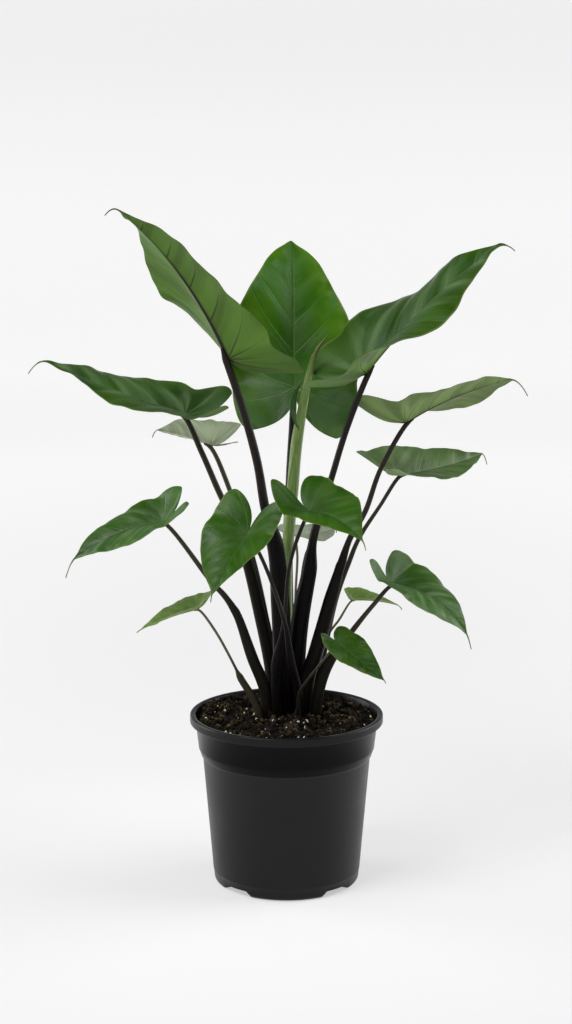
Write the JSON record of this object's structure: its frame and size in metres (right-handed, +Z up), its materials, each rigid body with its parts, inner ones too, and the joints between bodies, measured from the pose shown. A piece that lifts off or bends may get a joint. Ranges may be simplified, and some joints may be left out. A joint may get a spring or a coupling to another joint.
{
  "type": "potted black stem alocasia",
  "caption": "Potted aroid house plant with dark petioles, arrow-shaped green leaves on long stalks, a rolled new leaf, and a round black nursery pot filled with potting mix.",
  "frame": {"origin": "centre of the pot's bottom, on the surface it stands on", "axes": "+Z up the plant; +X to the right and -Y towards the viewer, seen from the front"},
  "size_m": [0.4868, 0.2954, 0.6681],
  "materials": {
    "pot_plastic": "satin black moulded plastic",
    "potting_mix": "dark crumbly peat with bark and white perlite",
    "black_stem": "smooth, satin, black-brown",
    "leaf_green": "glossy deep green above, duller grey-green below, with a dark midrib",
    "new_leaf_green": "satin light yellow-green"
  },
  "bodies": {
    "root": {"pot": "pot_plastic", "soil": "potting_mix", "petiole_crown": "black_stem", "blade_crown": "leaf_green", "petiole_upper_left": "black_stem", "blade_upper_left": "leaf_green", "petiole_upper_right": "black_stem", "blade_upper_right": "leaf_green", "petiole_mid_left": "black_stem", "blade_mid_left": "leaf_green", "petiole_back_left": "black_stem", "blade_back_left": "leaf_green", "petiole_mid_right": "black_stem", "blade_mid_right": "leaf_green", "petiole_inner_right": "black_stem", "blade_inner_right": "leaf_green", "petiole_front_left": "black_stem", "blade_front_left": "leaf_green", "petiole_front_right": "black_stem", "blade_front_right": "leaf_green", "petiole_low_left": "black_stem", "blade_low_left": "leaf_green", "petiole_small_left": "black_stem", "blade_small_left": "leaf_green", "petiole_low_right": "black_stem", "blade_low_right": "leaf_green", "petiole_small_right": "black_stem", "blade_small_right": "leaf_green", "petiole_front_small": "black_stem", "blade_front_small": "leaf_green", "petiole_back_small": "black_stem", "blade_back_small": "leaf_green", "new_leaf": "new_leaf_green"}
  },
  "joints": []
}
